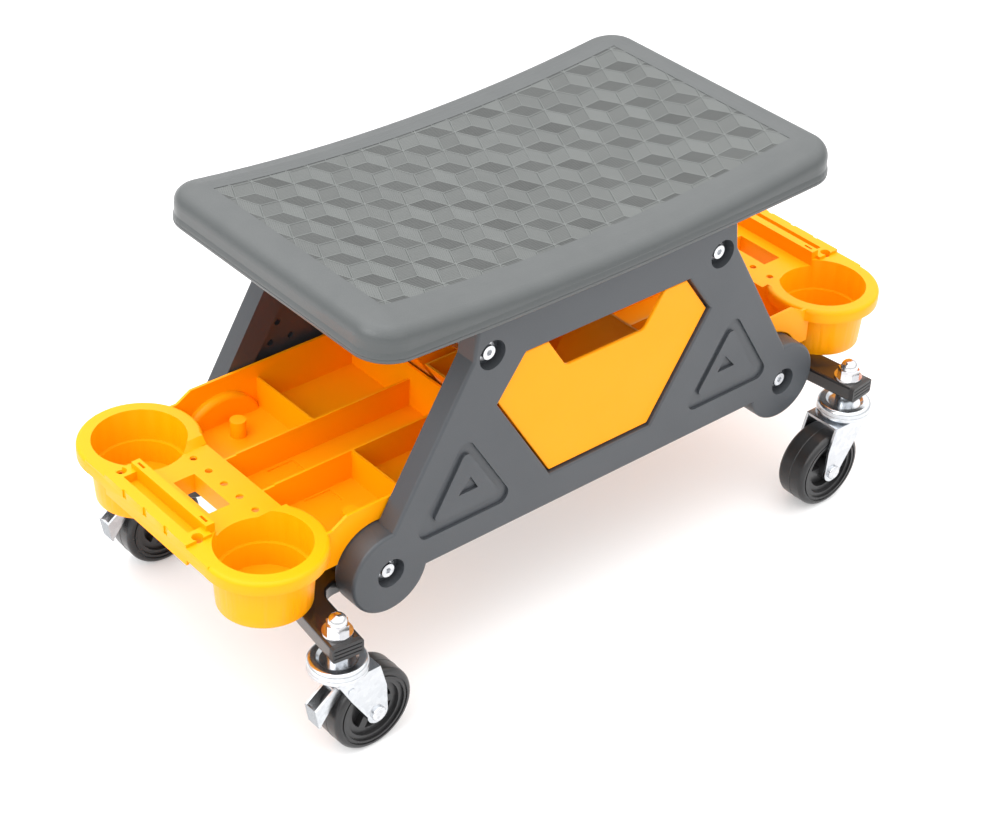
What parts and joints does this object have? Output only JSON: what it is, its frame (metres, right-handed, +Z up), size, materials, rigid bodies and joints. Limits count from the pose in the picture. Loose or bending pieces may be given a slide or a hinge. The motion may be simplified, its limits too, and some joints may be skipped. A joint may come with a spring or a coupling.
{
  "type": "rolling workshop seat",
  "caption": "Low rolling workshop seat with a saddle-shaped top, slanted side panels, end trays with cup holders, side drawers and braked swivel casters.",
  "frame": {"origin": "on the floor under the middle of the seat", "axes": "+Z up, +X along the seat towards the end without brakes, +Y across towards the far panel"},
  "size_m": [0.7266, 0.3472, 0.371],
  "materials": {
    "seat_plastic": "satin, textured top",
    "panel_plastic": "satin",
    "tray_plastic": "soft gloss",
    "cradle_plastic": "satin",
    "cap_plastic": "satin",
    "black_tube": "gloss powder coat",
    "zinc_plate": "bright zinc plate",
    "bright_fastener": "bright plate",
    "black_screw": "black oxide",
    "tread": "satin",
    "wheel_core": "satin"
  },
  "bodies": {
    "base": {"caster_left_far_stem": "zinc_plate", "caster_left_near_stem": "zinc_plate", "caster_nuts": "bright_fastener", "caster_right_far_stem": "zinc_plate", "caster_right_near_stem": "zinc_plate", "drawer_cradle": "cradle_plastic", "frame_rail_far": "black_tube", "frame_rail_near": "black_tube", "lower_tie_left": "black_tube", "lower_tie_right": "black_tube", "panel_bolts": "bright_fastener", "rail_cap_left_far": "cap_plastic", "rail_cap_left_near": "cap_plastic", "rail_cap_right_far": "cap_plastic", "rail_cap_right_near": "cap_plastic", "rail_screws": "black_screw", "seat_screws": "black_screw", "seat_shell": "seat_plastic", "side_panel_far": "panel_plastic", "side_panel_near": "panel_plastic", "tray_left": "tray_plastic", "tray_right": "tray_plastic", "tray_screws": "black_screw", "upper_tie_left": "black_tube", "upper_tie_right": "black_tube"},
    "fork_left_near": {"caster_left_near_fork": "zinc_plate", "caster_left_near_axle": "zinc_plate", "brake_pin_near": "zinc_plate"},
    "wheel_left_near": {"caster_left_near_tyre": "tread", "caster_left_near_hub": "wheel_core"},
    "lever_near": {"brake_lever_near": "zinc_plate"},
    "fork_left_far": {"caster_left_far_fork": "zinc_plate", "caster_left_far_axle": "zinc_plate", "brake_pin_far": "zinc_plate"},
    "wheel_left_far": {"caster_left_far_tyre": "tread", "caster_left_far_hub": "wheel_core"},
    "lever_far": {"brake_lever_far": "zinc_plate"},
    "fork_right_near": {"caster_right_near_fork": "zinc_plate", "caster_right_near_axle": "zinc_plate"},
    "wheel_right_near": {"caster_right_near_tyre": "tread", "caster_right_near_hub": "wheel_core"},
    "fork_right_far": {"caster_right_far_fork": "zinc_plate", "caster_right_far_axle": "zinc_plate"},
    "wheel_right_far": {"caster_right_far_tyre": "tread", "caster_right_far_hub": "wheel_core"},
    "drawer_body_near": {"drawer_near": "tray_plastic"},
    "drawer_body_far": {"drawer_far": "tray_plastic"}
  },
  "joints": [
    {"name": "swivel_left_near", "type": "hinge", "parent": "base", "child": "fork_left_near", "pos_m": [-0.2882, -0.1489, 0.095], "axis": [0, 0, 1], "continuous": true},
    {"name": "roll_left_near", "type": "hinge", "parent": "fork_left_near", "child": "wheel_left_near", "pos_m": [-0.2625, -0.1489, 0.0375], "axis": [0, 1, 0], "continuous": true},
    {"name": "brake_near", "type": "hinge", "parent": "fork_left_near", "child": "lever_near", "pos_m": [-0.2882, -0.1489, 0.073], "axis": [0, -1, 0], "range_deg": [0, 2.8]},
    {"name": "swivel_left_far", "type": "hinge", "parent": "base", "child": "fork_left_far", "pos_m": [-0.2882, 0.1489, 0.095], "axis": [0, 0, 1], "continuous": true},
    {"name": "roll_left_far", "type": "hinge", "parent": "fork_left_far", "child": "wheel_left_far", "pos_m": [-0.2625, 0.1489, 0.0375], "axis": [0, 1, 0], "continuous": true},
    {"name": "brake_far", "type": "hinge", "parent": "fork_left_far", "child": "lever_far", "pos_m": [-0.2882, 0.1489, 0.073], "axis": [0, -1, 0], "range_deg": [0, 2.8]},
    {"name": "swivel_right_near", "type": "hinge", "parent": "base", "child": "fork_right_near", "pos_m": [0.2882, -0.1489, 0.095], "axis": [0, 0, 1], "continuous": true},
    {"name": "roll_right_near", "type": "hinge", "parent": "fork_right_near", "child": "wheel_right_near", "pos_m": [0.2625, -0.1489, 0.0375], "axis": [0, 1, 0], "continuous": true},
    {"name": "swivel_right_far", "type": "hinge", "parent": "base", "child": "fork_right_far", "pos_m": [0.2882, 0.1489, 0.095], "axis": [0, 0, 1], "continuous": true},
    {"name": "roll_right_far", "type": "hinge", "parent": "fork_right_far", "child": "wheel_right_far", "pos_m": [0.2625, 0.1489, 0.0375], "axis": [0, 1, 0], "continuous": true},
    {"name": "drawer_slide_near", "type": "slide", "parent": "base", "child": "drawer_body_near", "axis": [0, -1, 0], "range_m": [0, 0.09]},
    {"name": "drawer_slide_far", "type": "slide", "parent": "base", "child": "drawer_body_far", "axis": [0, 1, 0], "range_m": [0, 0.09]}
  ]
}
